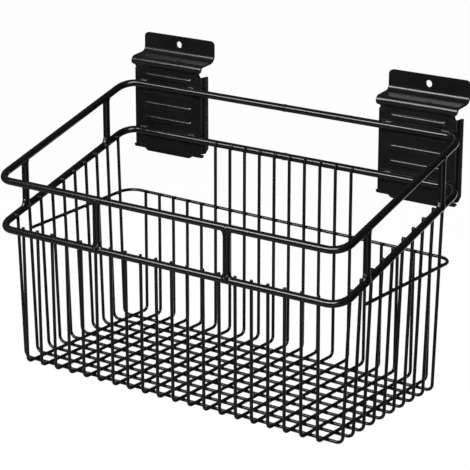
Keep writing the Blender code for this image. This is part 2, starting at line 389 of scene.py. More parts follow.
def spot_weld_tree():
    """Sets a small bead of metal on each point, turned and sized as the point says, no two quite alike."""
    extra = (("Jitter", "NodeSocketFloat", 0.2), ("Seed", "NodeSocketInt", 7))
    tree, start, end = geometry_tree("spot_welds", extra)
    least = math_node(tree, "SUBTRACT", 1.0, start.outputs["Jitter"])
    most = math_node(tree, "ADD", 1.0, start.outputs["Jitter"])
    vary = tree.nodes.new("FunctionNodeRandomValue")
    vary.data_type = "FLOAT_VECTOR"
    tree.links.new(least, vary.inputs["Min"])
    tree.links.new(most, vary.inputs["Max"])
    tree.links.new(start.outputs["Seed"], vary.inputs["Seed"])
    size = tree.nodes.new("ShaderNodeVectorMath")
    size.operation = "MULTIPLY"
    tree.links.new(named_vector(tree, "size"), size.inputs[0])
    tree.links.new(vary.outputs["Value"], size.inputs[1])
    place = tree.nodes.new("GeometryNodeInstanceOnPoints")
    tree.links.new(start.outputs["Geometry"], place.inputs["Points"])
    tree.links.new(round_drop(tree), place.inputs["Instance"])
    tree.links.new(named_vector(tree, "turn"), place.inputs["Rotation"])
    tree.links.new(size.outputs["Vector"], place.inputs["Scale"])
    return finish_tree(tree, place.outputs["Instances"], start, end)


def math_node(tree, operation, first, second):
    """A sum on two numbers or sockets."""
    node = tree.nodes.new("ShaderNodeMath")
    node.operation = operation
    for socket, value in zip(node.inputs, (first, second)):
        if isinstance(value, (int, float)):
            socket.default_value = value
        else:
            tree.links.new(value, socket)
    return node.outputs["Value"]


def spatter_tree():
    """Scatters small round drops of weld metal over a surface and leaves the surface out."""
    extra = (
        ("Density", "NodeSocketFloat", 40000.0),
        ("Smallest", "NodeSocketFloat", 0.18 * MM),
        ("Largest", "NodeSocketFloat", 0.48 * MM),
        ("Seed", "NodeSocketInt", 3),
    )
    tree, start, end = geometry_tree("weld_spatter", extra)
    scatter = tree.nodes.new("GeometryNodeDistributePointsOnFaces")
    tree.links.new(start.outputs["Geometry"], scatter.inputs["Mesh"])
    tree.links.new(start.outputs["Density"], scatter.inputs["Density"])
    tree.links.new(start.outputs["Seed"], scatter.inputs["Seed"])
    size = tree.nodes.new("FunctionNodeRandomValue")
    size.data_type = "FLOAT"
    least, most = [socket for socket in size.inputs if socket.type == "VALUE"][:2]
    tree.links.new(start.outputs["Smallest"], least)
    tree.links.new(start.outputs["Largest"], most)
    tree.links.new(start.outputs["Seed"], size.inputs["Seed"])
    size_out = [socket for socket in size.outputs if socket.type == "VALUE"][0]
    place = tree.nodes.new("GeometryNodeInstanceOnPoints")
    tree.links.new(scatter.outputs["Points"], place.inputs["Points"])
    tree.links.new(round_drop(tree), place.inputs["Instance"])
    tree.links.new(size_out, place.inputs["Scale"])
    return finish_tree(tree, place.outputs["Instances"], start, end)


def tree_named(name, build):
    """The node tree of that name, built the first time it is asked for."""
    return bpy.data.node_groups.get(name) or build()


# ---------------------------------------------------------------- making plain meshes

def link(name, data):
    """A new object at the origin that holds this data."""
    obj = bpy.data.objects.new(name, data)
    bpy.context.scene.collection.objects.link(obj)
    return obj


def baked(obj, name):
    """A plain mesh object of what the modifiers make of obj, which is then removed."""
    bpy.context.view_layer.update()
    evaluated = obj.evaluated_get(bpy.context.evaluated_depsgraph_get())
    mesh = bpy.data.meshes.new_from_object(evaluated)
    bpy.data.objects.remove(obj, do_unlink=True)
    if not mesh.polygons:
        raise RuntimeError(f"{name} came out empty")
    mesh.name = name
    return link(name, mesh)


def with_tree(obj, tree, name, values):
    """Runs a geometry tree on obj, with its inputs set by name, and gives the plain mesh object."""
    modifier = obj.modifiers.new(tree.name, "NODES")
    modifier.node_group = tree
    sockets = {item.name: item.identifier for item in tree.interface.items_tree if item.in_out == "INPUT"}
    for socket_name, value in values.items():
        modifier[sockets[socket_name]] = value
    return baked(obj, name)


def drawn_rods(name, paths, radius, sides, coat, closed=False):
    """Round rods along paths of points, or of (point, thickness) where a rod's ends are cropped."""
    curve = bpy.data.curves.new(name + "_paths", "CURVE")
    curve.dimensions = "3D"
    for path in paths:
        spline = curve.splines.new("POLY")
        spline.points.add(len(path) - 1)
        spline.use_cyclic_u = closed
        for knot, item in zip(spline.points, path):
            point, thickness = (item, 1.0) if closed else item
            knot.co = (*point, 1.0)
            knot.radius = thickness
    values = {"Coat": coat, "Radius": radius, "Sides": sides}
    piece = with_tree(link(name + "_paths", curve), tree_named("drawn_rod", drawn_rod_tree), name, values)
    piece.data.set_sharp_from_angle(angle=math.radians(50))
    return piece


def spot_welds(name, spots, coat, seed):
    """Small beads at (place, turn, size) spots."""
    mesh = bpy.data.meshes.new(name + "_spots")
    mesh.from_pydata([place for place, turn, size in spots], [], [])
    for attribute_name, index in (("turn", 1), ("size", 2)):
        attribute = mesh.attributes.new(attribute_name, "FLOAT_VECTOR", "POINT")
        for item, spot in zip(attribute.data, spots):
            item.vector = spot[index]
    values = {"Coat": coat, "Jitter": 0.18, "Seed": seed}
    return with_tree(link(name + "_spots", mesh), tree_named("spot_welds", spot_weld_tree), name, values)


def closed_rings(bm, rings):
    """Skins a stack of rings of points and closes both ends."""
    rows = [[bm.verts.new(point) for point in ring] for ring in rings]
    for lower, upper in zip(rows, rows[1:]):
        for i in range(len(lower)):
            j = (i + 1) % len(lower)
            bm.faces.new((lower[i], lower[j], upper[j], upper[i]))
    bm.faces.new(rows[0][::-1])
    bm.faces.new(rows[-1])


def mesh_object(name, bm, coat):
    """A smooth mesh object from closed shapes, with its faces outwards."""
    bmesh.ops.recalc_face_normals(bm, faces=bm.faces[:])
    mesh = bpy.data.meshes.new(name)
    bm.to_mesh(mesh)
    bm.free()
    mesh.shade_smooth()
    mesh.materials.append(coat)
    return link(name, mesh)


def hand_over(piece, nodes=()):
    """Puts a finished piece on its body and hides the frame's parts that it stands in for."""
    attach(piece, BODY)
    if nodes:
        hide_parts(*nodes)


# ---------------------------------------------------------------- finishes

CLOUD_SCALE = 55.0  # clouds, grit and specks are noises, in features a metre
GRIT_FINENESS = 3.7  # times as fine as the orange peel
SPECK_SCALE = 900.0
SPECK_FLOOR = 0.46  # below this much noise no dust has settled
DUST_STRENGTH = 4.0
DUST_ROUGHNESS = 0.3
DARKEST_CLOUD = (0.72, 0.72, 0.72, 1.0)


def coat_surface_group():
    """Orange peel, cloudy gloss and settled dust of a powder coat, as colours and values over the surface."""
    tree = bpy.data.node_groups.new("powder_coat_surface", "ShaderNodeTree")
    inputs = (
        ("Position", "NodeSocketVector", None),
        ("Coat Color", "NodeSocketColor", (0.005, 0.005, 0.005, 1.0)),
        ("Dust Color", "NodeSocketColor", (0.1, 0.1, 0.1, 1.0)),
        ("Dust", "NodeSocketFloat", 0.1),
        ("Roughness", "NodeSocketFloat", 0.25),
        ("Cloud", "NodeSocketFloat", 0.08),
        ("Peel Size", "NodeSocketFloat", 1.3 * MM),
        ("Grit", "NodeSocketFloat", 0.3),
    )
    for name, kind, default in inputs:
        add_socket(tree, name, kind, default)
    add_socket(tree, "Color", "NodeSocketColor", side="OUTPUT")
    add_socket(tree, "Roughness", "NodeSocketFloat", side="OUTPUT")
    add_socket(tree, "Height", "NodeSocketFloat", side="OUTPUT")
    start = tree.nodes.new("NodeGroupInput")
    end = tree.nodes.new("NodeGroupOutput")
    position = start.outputs["Position"]

    peel_scale = math_node(tree, "DIVIDE", 1.0, start.outputs["Peel Size"])
    peel = noise_value(tree, position, peel_scale, detail=1.0)
    grit_scale = math_node(tree, "MULTIPLY", peel_scale, GRIT_FINENESS)
    grit = noise_value(tree, position, grit_scale, detail=2.0)
    grit = math_node(tree, "MULTIPLY", grit, start.outputs["Grit"])
    tree.links.new(math_node(tree, "ADD", peel, grit), end.inputs["Height"])

    cloud = noise_value(tree, position, CLOUD_SCALE, detail=3.0)
    swing = math_node(tree, "MULTIPLY", math_node(tree, "SUBTRACT", cloud, 0.5), start.outputs["Cloud"])
    roughness = math_node(tree, "ADD", start.outputs["Roughness"], math_node(tree, "MULTIPLY", swing, 2.0))

    facing = tree.nodes.new("ShaderNodeNewGeometry")
    split = tree.nodes.new("ShaderNodeSeparateXYZ")
    tree.links.new(facing.outputs["Normal"], split.inputs["Vector"])
    upward = math_node(tree, "MAXIMUM", split.outputs["Z"], 0.0)
    upward = math_node(tree, "POWER", upward, 2.0)
    specks = noise_value(tree, position, SPECK_SCALE, detail=4.0)
    specks = math_node(tree, "MAXIMUM", math_node(tree, "SUBTRACT", specks, SPECK_FLOOR), 0.0)
    dust = math_node(tree, "MULTIPLY", math_node(tree, "MULTIPLY", upward, specks), DUST_STRENGTH)
    dust = math_node(tree, "MULTIPLY", dust, start.outputs["Dust"])
    dust = math_node(tree, "MINIMUM", dust, 1.0)

    shade = tree.nodes.new("ShaderNodeMix")
    shade.data_type = "RGBA"
    shade.blend_type = "MULTIPLY"
    shade.inputs["Factor"].default_value = 1.0
    ramp = tree.nodes.new("ShaderNodeValToRGB")
    ramp.color_ramp.elements[0].position = 0.3
    ramp.color_ramp.elements[0].color = DARKEST_CLOUD
    ramp.color_ramp.elements[1].position = 0.7
    tree.links.new(cloud, ramp.inputs["Fac"])
    tree.links.new(start.outputs["Coat Color"], shade.inputs["A"])
    tree.links.new(ramp.outputs["Color"], shade.inputs["B"])
    settle = tree.nodes.new("ShaderNodeMix")
    settle.data_type = "RGBA"
    tree.links.new(dust, settle.inputs["Factor"])
    tree.links.new(colour_output(shade), colour_input(settle, 0))
    tree.links.new(start.outputs["Dust Color"], colour_input(settle, 1))
    tree.links.new(colour_output(settle), end.inputs["Color"])
    dusty = math_node(tree, "ADD", roughness, math_node(tree, "MULTIPLY", dust, DUST_ROUGHNESS))
    tree.links.new(dusty, end.inputs["Roughness"])
    return tree


def colour_input(mix, which):
    """The first or second colour socket of a Mix node."""
    return [socket for socket in mix.inputs if socket.type == "RGBA"][which]


def colour_output(mix):
    """The colour that a Mix node puts out."""
    return [socket for socket in mix.outputs if socket.type == "RGBA"][0]


def noise_value(tree, position, scale, detail):
    """A noise of about 0 to 1 over the surface."""
    node = tree.nodes.new("ShaderNodeTexNoise")
    node.inputs["Detail"].default_value = detail
    tree.links.new(position, node.inputs["Vector"])
    if isinstance(scale, (int, float)):
        node.inputs["Scale"].default_value = scale
    else:
        tree.links.new(scale, node.inputs["Scale"])
    return node.outputs["Fac"]


def powder_coat(name, black, gloss, peel, cloud, grit, dust, depth):
    """A black powder coat. Peel is the size of its orange peel and depth how deep that is."""
    made = bpy.data.materials.get(name)
    if made:
        return made
    looks = bpy.context.scene.basket_coat
    material = bpy.data.materials.new(name)
    material.use_nodes = True
    tree = material.node_tree
    shader = tree.nodes["Principled BSDF"]
    shader.inputs["Metallic"].default_value = 0.0
    shader.inputs["IOR"].default_value = 1.5
    place = tree.nodes.new("ShaderNodeTexCoord")
    surface = tree.nodes.new("ShaderNodeGroup")
    surface.node_tree = tree_named("powder_coat_surface", coat_surface_group)
    surface.inputs["Coat Color"].default_value = (*black, 1.0)
    surface.inputs["Dust Color"].default_value = (*looks.dust, 1.0)
    surface.inputs["Dust"].default_value = dust
    surface.inputs["Roughness"].default_value = 1.0 - gloss
    surface.inputs["Cloud"].default_value = cloud
    surface.inputs["Peel Size"].default_value = peel
    surface.inputs["Grit"].default_value = grit
    bump = tree.nodes.new("ShaderNodeBump")
    bump.inputs["Strength"].default_value = 1.0
    bump.inputs["Distance"].default_value = depth
    tree.links.new(place.outputs["Object"], surface.inputs["Position"])
    tree.links.new(surface.outputs["Color"], shader.inputs["Base Color"])
    tree.links.new(surface.outputs["Roughness"], shader.inputs["Roughness"])
    tree.links.new(surface.outputs["Height"], bump.inputs["Height"])
    tree.links.new(bump.outputs["Normal"], shader.inputs["Normal"])
    return material


def rod_coat():
    """The coat on the rims and posts."""
    looks = bpy.context.scene.basket_coat
    return powder_coat(
        "gloss_black_rod_coat", looks.rod_black, looks.rod_gloss,
        peel=1.8 * MM, cloud=0.05, grit=0.1, dust=0.10, depth=0.012 * MM,
    )


def wire_coat():
    """The coat on the cage's wires, smoother than the rods'."""
    looks = bpy.context.scene.basket_coat
    return powder_coat(
        "gloss_black_wire_coat", looks.rod_black, looks.rod_gloss,
        peel=1.8 * MM, cloud=0.05, grit=0.05, dust=0.12, depth=0.003 * MM,
    )


def bracket_coat():
    """The coat on the brackets, with a coarser orange peel."""
    looks = bpy.context.scene.basket_coat
    return powder_coat(
        "satin_black_sheet_coat", looks.sheet_black, looks.sheet_gloss,
        peel=2.4 * MM, cloud=0.07, grit=0.35, dust=0.12, depth=0.05 * MM,
    )


def weld_coat():
    """The coat over the welds, which are rough beneath it."""
    looks = bpy.context.scene.basket_coat
    return powder_coat(
        "black_coat_over_weld", looks.rod_black, looks.rod_gloss,
        peel=0.7 * MM, cloud=0.08, grit=0.6, dust=0.12, depth=0.06 * MM,
    )


# ---------------------------------------------------------------- rims and posts

def rim_path(rim, corner):
    """The closed path of one rim, which slopes down to the front."""
    half, front, back = rim["half"], rim["front"], rim["back"]
    corners = [(-half, front), (half, front), (half, back), (-half, back)]
    return bent_path([(x, y, rim_z(rim, y)) for x, y in corners], corner, closed=True)


class BASKET_OT_rims(bpy.types.Operator):
    """Sweep the two sloping rims"""

    bl_idname = "basket.rims"
    bl_label = "Rims"

    def execute(self, context):
        sizes = context.scene.basket_rods
        for node in ("upper_rim", "lower_rim"):
            path = rim_path(rim_frame(sizes, node), sizes.rim_corner)
            radius, sides = sizes.rod_radius, sizes.rod_sides
            piece = drawn_rods(node + "_rod", [path], radius, sides, rod_coat(), closed=True)
            hand_over(piece, (node,))
        return {"FINISHED"}


def post_place(sizes, node):
    """A post's place, the heights of the rims that it joins, and the rims' slope there."""
    low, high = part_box(node)
    x, y = (low.x + high.x) / 2, (low.y + high.y) / 2
    upper, lower = rim_frame(sizes, "upper_rim"), rim_frame(sizes, "lower_rim")
    on_front = "front_" in node
    fall = upper["back_z"] - upper["front_z"]
    return {
        "x": x,
        "y": y,
        "low": rim_z(lower, y),
        "high": rim_z(upper, y),
        "slope": 0.0 if on_front else fall / (upper["back"] - upper["front"]),
        "on_front": on_front,
    }


class BASKET_OT_posts(bpy.types.Operator):
    """Set the six posts between the rims"""

    bl_idname = "basket.posts"
    bl_label = "Posts"

    def execute(self, context):
        sizes = context.scene.basket_rods
        paths = []
        for node in POSTS:
            post = post_place(sizes, node)
            foot = Vector((post["x"], post["y"], post["low"]))
            head = Vector((post["x"], post["y"], post["high"]))
            paths.append([(foot, 1.0), (head, 1.0)])
        piece = drawn_rods("rim_posts", paths, sizes.rod_radius, sizes.rod_sides, rod_coat())
        hand_over(piece, POSTS)
        return {"FINISHED"}


# ---------------------------------------------------------------- cage

class BASKET_OT_long_wires(bpy.types.Operator):
    """Sweep the wires that run from front to back"""

    bl_idname = "basket.long_wires"
    bl_label = "Long wires"

    def execute(self, context):
        sizes = context.scene.basket_rods
        cage = cage_frame(sizes)
        band = band_frame(sizes, cage)
        radius = sizes.wire_radius
        paths = [cut_ends(long_wire_path(sizes, cage, band, node), radius) for node in LONG_WIRES]
        piece = drawn_rods("long_wires", paths, radius, sizes.wire_sides, wire_coat())
        hand_over(piece, LONG_WIRES)
        return {"FINISHED"}


class BASKET_OT_cross_wires(bpy.types.Operator):
    """Sweep the wires that run from side to side"""

    bl_idname = "basket.cross_wires"
    bl_label = "Cross wires"

    def execute(self, context):
        sizes = context.scene.basket_rods
        cage = cage_frame(sizes)
        radius = sizes.wire_radius
        paths = [cut_ends(cross_wire_path(sizes, cage, node), radius) for node in CROSS_WIRES]
        piece = drawn_rods("cross_wires", paths, radius, sizes.wire_sides, wire_coat())
        hand_over(piece, CROSS_WIRES)
        return {"FINISHED"}


class BASKET_OT_band(bpy.types.Operator):
    """Sweep the band wire round the cage"""

    bl_idname = "basket.band"
    bl_label = "Band wire"

    def execute(self, context):
        sizes = context.scene.basket_rods
        band = band_frame(sizes, cage_frame(sizes))
        half, front, back = band["half"], band["front"], band["back"]
        corners = [(-half, front), (-half, back), (half, back), (half, front)]
        path = bent_path([(x, y, band_z(band, x, y)) for x, y in corners], sizes.band_corner)
        radius = sizes.wire_radius
        piece = drawn_rods("band_wire_rod", [cut_ends(path, radius)], radius, sizes.wire_sides, wire_coat())
        hand_over(piece, ("band_wire",))
        return {"FINISHED"}


# ---------------------------------------------------------------- welds

FLOOR_SPOT = (1.05, 1.05, 0.62)  # half sizes of a spot weld, in wire radii
RIM_SPOT = (1.5, 0.9, 1.9)
BAND_SPOT = (1.15, 0.7 * 1.15, 1.15)
SPOT_TURN = 0.4  # most that a floor spot is turned, in radians
SPOT_TURN_SCALE = 90


def spot_size(sizes, shares, sideways=False):
    """Half sizes of a spot weld that lies along X, or sideways along Y."""
    wide, deep, high = (share_of * sizes.wire_radius for share_of in shares)
    return (deep, wide, high) if sideways else (wide, deep, high)


def floor_spots(sizes, cage, xs, ys):
    """Where the long and the cross wires meet on the floor."""
    z = cage["floor"] - cage["step"] / 2
    size = spot_size(sizes, FLOOR_SPOT)
    spots = []
    for x in xs:
        for y in ys:
            turn = SPOT_TURN * noise.noise(Vector((x, y, 0)) * SPOT_TURN_SCALE)
            spots.append(((x, y, z), (0.0, 0.0, turn), size))
    return spots


def rim_spots(sizes, cage, xs, tall_xs, ys):
    """Where wires meet the lower rim: on its front, its back and its two sides."""
    rim = cage["rim"]
    flat = spot_size(sizes, RIM_SPOT)
    lying = spot_size(sizes, RIM_SPOT, sideways=True)
    slope = math.atan2(rim["back_z"] - rim["front_z"], rim["back"] - rim["front"])
    gap = sizes.rod_radius - sizes.bite
    spots = [((x, rim["front"] + gap, rim["front_z"]), (0, 0, 0), flat) for x in xs]
    spots += [((x, rim["back"] - gap, rim["back_z"]), (0, 0, 0), flat) for x in tall_xs]
    for side in (-1, 1):
        spots += [((side * (rim["half"] - gap), y, rim_z(rim, y)), (slope, 0, 0), lying) for y in ys]
    return spots


def band_spots(sizes, cage, band, xs, ys):
    """Where the band meets the cage: behind the long wires and outside the cross wires."""
    flat = spot_size(sizes, BAND_SPOT)
    lying = spot_size(sizes, BAND_SPOT, sideways=True)
    depth = cage["back"] + cage["step"] / 2
    spots = [((x, depth, band_z(band, x, band["back"])), (0, 0, 0), flat) for x in xs]
    for side in (-1, 1):
        x = side * (band["half"] - cage["step"] / 2)
        spots += [((x, y, band_z(band, x, y)), (0, 0, 0), lying) for y in ys if y >= band["front"]]
    return spots


class BASKET_OT_wire_welds(bpy.types.Operator):
    """Bead every spot weld of the cage"""

    bl_idname = "basket.wire_welds"
    bl_label = "Spot welds"

    def execute(self, context):
        sizes = context.scene.basket_rods
        cage = cage_frame(sizes)
        band = band_frame(sizes, cage)
        boxes = [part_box(node) for node in LONG_WIRES]
        xs = [(low.x + high.x) / 2 for low, high in boxes]
        tall_xs = [(low.x + high.x) / 2 for low, high in boxes if high.z > cage["rim"]["back_z"]]
        ys = [(low.y + high.y) / 2 for low, high in map(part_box, CROSS_WIRES)]
        groups = (
            ("floor_spot_welds", floor_spots(sizes, cage, xs, ys)),
            ("rim_spot_welds", rim_spots(sizes, cage, xs, tall_xs, ys)),
            ("band_spot_welds", band_spots(sizes, cage, band, xs, ys)),
        )
        for seed, (name, spots) in enumerate(groups):
            hand_over(spot_welds(name, spots, weld_coat(), seed))
        return {"FINISHED"}


POST_SPATTER_SEED, BRACKET_SPATTER_SEED = 11, 23


class PostWeld:
    """The weld round one end of a post, in rings from the post down into the rim. Along is with the rim,
    across is through it, and rise is up the post."""

    around, steps = 28, 6
    foot_flare, head_flare = 2.9 * MM, 2.0 * MM  # how far the weld spreads along the rim
    unevenness = 0.6  # share of the flare
    lump_round, lump_rise, lump_seed = 1.3, 1.1, 7.3
    proud, climb = 0.1 * MM, 0.9 * MM  # its top edge, off the post and up from the seam
    knee_along, knee_across, knee_rise = 0.5 * MM, 0.4 * MM, 0.35 * MM
    foot_across = 0.15 * MM
    sunk, sunk_across = 0.25 * MM, 0.9 * MM  # how deep its lower edge goes into the rim
    ripple, ripple_size = 0.05, 0.9 * MM
    pinch = 0.97  # draws the top edge into the post
    plug_along, plug_across, plug_depth = 0.75, 0.7, 0.9 * MM  # the last ring, hidden in the rim

    def __init__(self, post, radius, up, seed):
        self.post, self.radius, self.seed = post, radius, seed
        self.up = up  # 1 at a post's foot and -1 at its head
        self.flare = self.foot_flare if up > 0 else self.head_flare
        self.base = Vector((post["x"], post["y"], post["low"] if up > 0 else post["high"]))

    def face(self, along, across, t):
        """Top edge, knee and lower edge of the weld in one direction round the post."""
        place = Vector((along * self.lump_round, across * self.lump_round, t * self.lump_rise))
        lump = noise.noise(place + Vector((0, 0, self.seed * self.lump_seed)))
        reach = self.flare * (1 + self.unevenness * lump)
        radius = self.radius
        seam = radius * abs(along)
        off_post = radius + self.proud
        top = (off_post * along, off_post * across, seam + self.climb + reach * abs(along))
        knee_along, knee_across = radius + self.knee_along, radius + self.knee_across
        knee = (knee_along * along, knee_across * across, seam + self.knee_rise)
        on_rim = math.sqrt(max(radius**2 - (radius * across) ** 2, 0.0))
        sunk = self.sunk + self.sunk_across * abs(across) ** 3
        foot = ((radius + reach) * along, (radius + self.foot_across) * across, on_rim - sunk)
        return top, knee, foot

    def point(self, step, i):
        """One point of one ring."""
        t = min(step / self.steps, 1.0)
        turn = math.tau * i / self.around
        top, knee, foot = self.face(math.cos(turn), math.sin(turn), t)
        u, v, w = ((1 - t) ** 2 * a + 2 * t * (1 - t) * b + t * t * c for a, b, c in zip(top, knee, foot))
        place = Vector((u, v, w)) / self.ripple_size + Vector((self.seed, 0, 0))
        swell = 1 + self.ripple * noise.noise(place)
        if step > self.steps:
            u, v, w = self.plug_along * foot[0], self.plug_across * foot[1], foot[2] - self.plug_depth
            swell = 1.0
        if step == 0:
            swell = self.pinch
        u, v = u * swell, v * swell
        on_front = self.post["on_front"]
        w = self.up * w + self.post["slope"] * (0 if on_front else u)
        return self.base + (Vector((u, v, w)) if on_front else Vector((v, u, w)))

    def rings(self):
        """All the weld's rings, the hidden last one too."""
        return [[self.point(step, i) for i in range(self.around)] for step in range(self.steps + 2)]


class BASKET_OT_post_welds(bpy.types.Operator):
    """Run a weld round both ends of every post"""

    bl_idname = "basket.post_welds"
    bl_label = "Post welds"

    def execute(self, context):
        sizes = context.scene.basket_rods
        bm = bmesh.new()
        for number, node in enumerate(POSTS):
            post = post_place(sizes, node)
            for up in (1, -1):
                closed_rings(bm, PostWeld(post, sizes.rod_radius, up, 2 * number + (up > 0)).rings())
        piece = mesh_object("post_welds", bm, weld_coat())
        hand_over(spatter(piece, "post_weld_spatter", POST_SPATTER_SEED))
        hand_over(piece)
        return {"FINISHED"}


def spatter(surface, name, seed):
    """Drops of weld metal on a copy of a surface."""
    copy = link(name + "_ground", surface.data.copy())
    values = {"Coat": weld_coat(), "Seed": seed}
    return with_tree(copy, tree_named("weld_spatter", spatter_tree), name, values)


BEAD_STEPS, BEAD_AROUND = 22, 14
BEAD_RIPPLE, BEAD_RIPPLE_PITCH = 0.13, 1.25 * MM
BEAD_LUMP, BEAD_LUMPS, BEAD_LUMP_SEED = 0.22, 5, 3.1
BEAD_TIP = 0.02  # keeps the ends of a bead open enough to close cleanly
BEAD_HALF_RUN = 3.6 * MM
BEAD_OFF_MIDDLE = 23.0 * MM  # from a bracket's middle
BEAD_WANDER = 0.8 * MM
BEAD_PROUD = 0.45 * MM  # in front of the face plate
BEAD_OFF_ROD = 2.15 * MM  # above or below a rod's middle
BEAD_ABOVE, BEAD_BELOW = 1.25 * MM, 1.6 * MM  # radii


def bead_rings(start, end, radius, seed):
    """Rings of a weld bead along a line, with the ripples that a welder's steps leave."""
    line = end - start
    side = line.cross(Vector((0, 0, 1))).normalized()
    rings = []
    for step in range(BEAD_STEPS + 1):
        t = step / BEAD_STEPS
        taper = math.sqrt(max(1 - (2 * t - 1) ** 4, BEAD_TIP))
        ripple = 1 + BEAD_RIPPLE * math.sin(t * line.length / BEAD_RIPPLE_PITCH * math.tau)
        ring = []
        for i in range(BEAD_AROUND):
            turn = math.tau * i / BEAD_AROUND
            place = Vector((t * BEAD_LUMPS, math.cos(turn), math.sin(turn) + seed * BEAD_LUMP_SEED))
            reach = radius * taper * ripple * (1 + BEAD_LUMP * noise.noise(place))
            outward = side * math.cos(turn) + Vector((0, 0, math.sin(turn)))
            ring.append(start + line * t + outward * reach)
        rings.append(ring)
    return rings


def rim_beads(sizes, sheets, node):
    """The beads that hold both rims to one bracket: (place, radius)."""
    low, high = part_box(node)
    middle = (low.x + high.x) / 2
    places = list(itertools.product(("upper_rim", "lower_rim"), (-1, 1), (-1, 1)))
    beads = []
    for count, (rim_node, side, above) in enumerate(places):
        seed = BRACKETS.index(node) * len(places) + count
        wander = BEAD_WANDER * noise.noise(Vector((seed, 0.5, 0.2)))
        x = middle + side * (BEAD_OFF_MIDDLE + wander)
        z = rim_frame(sizes, rim_node)["back_z"] + above * BEAD_OFF_ROD
        place = Vector((x, -sheets.side_depth - BEAD_PROUD, z))
        beads.append((place, BEAD_ABOVE if above > 0 else BEAD_BELOW))
    return beads


class BASKET_OT_bracket_welds(bpy.types.Operator):
    """Run the short welds that hold the rims to the brackets"""

    bl_idname = "basket.bracket_welds"
    bl_label = "Bracket welds"

    def execute(self, context):
        sizes = context.scene.basket_rods
        sheets = context.scene.basket_sheets
        run = Vector((BEAD_HALF_RUN, 0, 0))
        bm = bmesh.new()
        beads = [bead for node in BRACKETS for bead in rim_beads(sizes, sheets, node)]
        for seed, (place, radius) in enumerate(beads, start=1):
            closed_rings(bm, bead_rings(place - run, place + run, radius, seed))
        piece = mesh_object("bracket_welds", bm, weld_coat())
        hand_over(spatter(piece, "bracket_weld_spatter", BRACKET_SPATTER_SEED))
        hand_over(piece)
        return {"FINISHED"}


# Half of a butt weld's outline in millimetres: (along the rod, proud of it)
BUTT_HALF = ((-1.9, -0.10), (-1.5, 0.06), (-0.9, 0.20), (-0.35, 0.16), (-0.12, -0.04))
BUTT_PROFILE = BUTT_HALF + tuple((-along, proud) for along, proud in reversed(BUTT_HALF))
BUTT_LUMP, BUTT_LUMP_ROUND, BUTT_LUMP_SEED = 0.10, 1.5, 9


def butt_ring(rim, radius, along, proud, around, seed):
    """One ring of a rim's butt weld. Along and proud are in millimetres, as in its profile."""
    ring = []
    for i in range(around):
        turn = math.tau * i / around
        across, rise = math.cos(turn), math.sin(turn)
        place = Vector((across * BUTT_LUMP_ROUND, rise * BUTT_LUMP_ROUND, along + BUTT_LUMP_SEED * seed))
        reach = radius + (proud + BUTT_LUMP * noise.noise(place) * (proud > 0)) * MM
        ring.append((along * MM, rim["back"] + across * reach, rim["back_z"] + rise * reach))
    return ring


class BASKET_OT_butt_welds(bpy.types.Operator):
    """Close each rim with its butt weld"""

    bl_idname = "basket.butt_welds"
    bl_label = "Butt welds"

    def execute(self, context):
        sizes = context.scene.basket_rods
        radius, around = sizes.rod_radius, sizes.rod_sides
        bm = bmesh.new()
        for seed, node in enumerate(("upper_rim", "lower_rim")):
            rim = rim_frame(sizes, node)
            closed_rings(bm, [butt_ring(rim, radius, *step, around, seed) for step in BUTT_PROFILE])
        hand_over(mesh_object("rim_butt_welds", bm, weld_coat()))
        return {"FINISHED"}


# ---------------------------------------------------------------- brackets

def arc(centre, radius, start, end, steps):
    """Points on an arc in the plane of depth and height, between two angles in degrees."""
    angles = [math.radians(start + (end - start) * i / steps) for i in range(steps + 1)]
    return [(centre[0] + radius * math.cos(a), centre[1] + radius * math.sin(a)) for a in angles]


def ease(low, high, value):
    """0 up to low, 1 from high, and smooth between."""
    t = min(max((value - low) / (high - low), 0.0), 1.0)
    return t * t * (3 - 2 * t)


